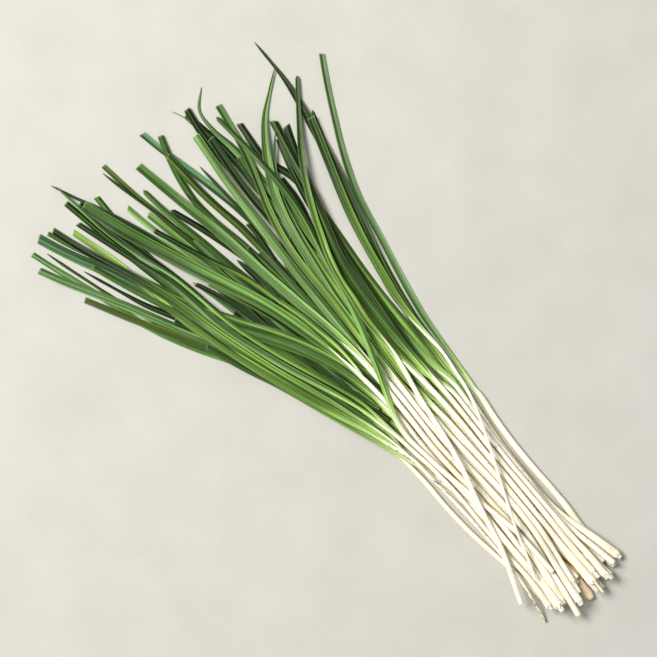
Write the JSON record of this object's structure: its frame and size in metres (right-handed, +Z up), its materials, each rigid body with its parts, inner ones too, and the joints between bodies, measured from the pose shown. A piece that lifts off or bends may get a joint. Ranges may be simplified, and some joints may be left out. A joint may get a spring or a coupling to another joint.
{
  "type": "bunch of flat-leaved chives",
  "caption": "Loose bunch of fresh flat-leaved chives lying on its side: round white stalks side by side at one end, fanning out into long narrow green leaves.",
  "frame": {"origin": "centre of the bunch's outline seen from above, on the surface that it lies on", "axes": "+Z up from that surface, +X along the bunch from the cut stalk ends towards the leaf tips, +Y across the fan, towards the long leaves' side"},
  "size_m": [0.3508, 0.1862, 0.0188],
  "materials": {
    "leaf_dark": "satin",
    "leaf_light": "satin",
    "husk": "matte",
    "stalk": "satin"
  },
  "bodies": {
    "root": {"shoot_01": "leaf_light", "shoot_02": "leaf_dark", "shoot_03": "leaf_dark", "shoot_04": "leaf_dark", "shoot_05": "leaf_dark", "shoot_06": "leaf_dark", "shoot_07": "leaf_dark", "shoot_08": "leaf_dark", "shoot_09": "leaf_light", "shoot_10": "leaf_dark", "shoot_11": "leaf_light", "dry_husk": "husk", "shoot_12": "leaf_dark", "shoot_13": "leaf_dark", "shoot_14": "leaf_dark", "shoot_15": "leaf_dark", "shoot_16": "leaf_light", "shoot_17": "leaf_dark", "shoot_18": "leaf_dark", "shoot_19": "leaf_light", "shoot_20": "leaf_light", "shoot_21": "leaf_light", "shoot_22": "leaf_light", "shoot_23": "leaf_dark", "shoot_24": "leaf_dark", "shoot_25": "leaf_light", "shoot_26": "leaf_light", "shoot_27": "leaf_light", "shoot_28": "leaf_light", "shoot_29": "leaf_dark", "shoot_30": "leaf_light", "shoot_31": "leaf_light", "shoot_32": "leaf_light", "shoot_33": "leaf_light", "shoot_34": "leaf_light", "shoot_35": "leaf_light"}
  },
  "joints": []
}
